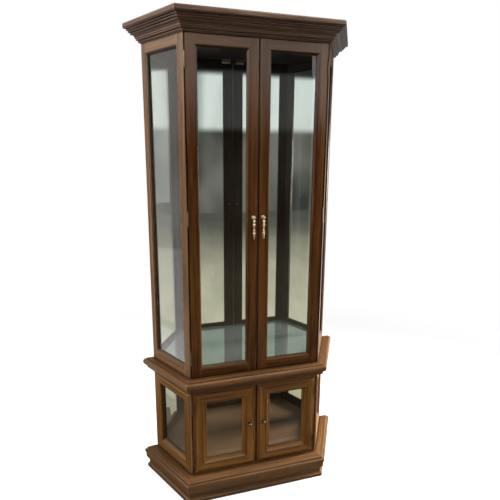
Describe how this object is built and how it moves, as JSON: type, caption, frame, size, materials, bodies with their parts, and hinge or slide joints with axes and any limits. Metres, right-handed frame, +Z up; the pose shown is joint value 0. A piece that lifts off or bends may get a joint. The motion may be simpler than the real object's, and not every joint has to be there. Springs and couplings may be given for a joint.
{
  "type": "display cabinet",
  "caption": "Standing wooden display cabinet with canted glass sides, glazed double doors above and below, a mirrored back and deck, a stepped cornice and a moulded base.",
  "frame": {"origin": "on the floor, under the middle of the cabinet's outer box", "axes": "+X to the right of someone facing the doors, +Y to the back, +Z up"},
  "size_m": [0.989, 0.307, 2],
  "materials": {
    "case_wood": "stained hardwood, satin lacquer",
    "panel_wood": "golden-brown stained hardwood, satin lacquer, dark glaze in the quirks",
    "upper_door_wood": "reddish-brown stained hardwood, satin lacquer",
    "cornice_wood": "dark brown stained hardwood, satin lacquer",
    "moulding_wood": "brown stained hardwood, satin lacquer, rubbed on the noses",
    "board_wood": "brown stained veneer, satin lacquer",
    "back_board": "unfinished thin board",
    "mirror": "silvered glass",
    "glass": "clear float glass",
    "bright_brass": "polished, lacquered",
    "antique_brass": "darkened antique",
    "catch_plastic": "moulded brown"
  },
  "bodies": {
    "case": {"base_frame_rails": "case_wood", "base_moulding_front": "moulding_wood", "base_moulding_left": "moulding_wood", "base_moulding_right": "moulding_wood", "cornice_front": "cornice_wood", "cornice_left": "cornice_wood", "cornice_right": "cornice_wood", "lower_back_panel": "back_board", "lower_floor": "board_wood", "lower_header_rail": "case_wood", "lower_hinge_case_leaves": "antique_brass", "lower_hinge_pins": "antique_brass", "lower_left_side_frame": "case_wood", "lower_mirror": "mirror", "lower_right_side_frame": "case_wood", "lower_side_glass": "glass", "lower_side_mouldings": "panel_wood", "magnetic_catches": "catch_plastic", "side_glass_stops": "upper_door_wood", "top_board": "board_wood", "upper_back_panel": "back_board", "upper_floor": "board_wood", "upper_floor_mirror": "mirror", "upper_header_rail": "case_wood", "upper_hinge_case_leaves": "bright_brass", "upper_hinge_pins": "bright_brass", "upper_left_side_frame": "case_wood", "upper_mirror": "mirror", "upper_right_side_frame": "case_wood", "upper_side_glass": "glass", "waist_board": "board_wood", "waist_moulding_front": "moulding_wood", "waist_moulding_left": "moulding_wood", "waist_moulding_right": "moulding_wood"},
    "upper_left_door": {"upper_left_door_stiles": "upper_door_wood", "upper_left_door_rails": "upper_door_wood", "upper_left_door_glass": "glass", "upper_left_door_glass_stops": "upper_door_wood", "upper_left_door_hinge_leaves": "bright_brass", "upper_left_pull_post": "bright_brass"},
    "upper_right_door": {"upper_right_door_stiles": "upper_door_wood", "upper_right_door_rails": "upper_door_wood", "upper_right_door_glass": "glass", "upper_right_door_glass_stops": "upper_door_wood", "upper_right_door_hinge_leaves": "bright_brass", "upper_right_pull_post": "bright_brass"},
    "lower_left_door": {"lower_left_door_stiles": "panel_wood", "lower_left_door_rails": "panel_wood", "lower_left_door_glass": "glass", "lower_left_door_glass_stops": "panel_wood", "lower_left_door_hinge_leaves": "antique_brass", "lower_left_knob": "antique_brass"},
    "lower_right_door": {"lower_right_door_stiles": "panel_wood", "lower_right_door_rails": "panel_wood", "lower_right_door_glass": "glass", "lower_right_door_glass_stops": "panel_wood", "lower_right_door_hinge_leaves": "antique_brass", "lower_right_knob": "antique_brass"},
    "upper_left_pull": {"upper_left_pull_drop": "bright_brass"},
    "upper_right_pull": {"upper_right_pull_drop": "bright_brass"}
  },
  "joints": [
    {"name": "upper_left_door_hinge", "type": "hinge", "parent": "case", "child": "upper_left_door", "pos_m": [-0.2852, -0.0969, 1.246], "axis": [0, 0, -1], "range_deg": [0, 180]},
    {"name": "upper_right_door_hinge", "type": "hinge", "parent": "case", "child": "upper_right_door", "pos_m": [0.2852, -0.0969, 1.246], "axis": [0, 0, 1], "range_deg": [0, 180]},
    {"name": "lower_left_door_hinge", "type": "hinge", "parent": "case", "child": "lower_left_door", "pos_m": [-0.2852, -0.0969, 0.3035], "axis": [0, 0, -1], "range_deg": [0, 180]},
    {"name": "lower_right_door_hinge", "type": "hinge", "parent": "case", "child": "lower_right_door", "pos_m": [0.2852, -0.0969, 0.3035], "axis": [0, 0, 1], "range_deg": [0, 180]},
    {"name": "upper_left_pull_swing", "type": "hinge", "parent": "upper_left_door", "child": "upper_left_pull", "pos_m": [-0.02, -0.1065, 1.243], "axis": [-1, 0, 0], "range_deg": [-4, 90]},
    {"name": "upper_right_pull_swing", "type": "hinge", "parent": "upper_right_door", "child": "upper_right_pull", "pos_m": [0.02, -0.1065, 1.243], "axis": [-1, 0, 0], "range_deg": [-4, 90]}
  ]
}
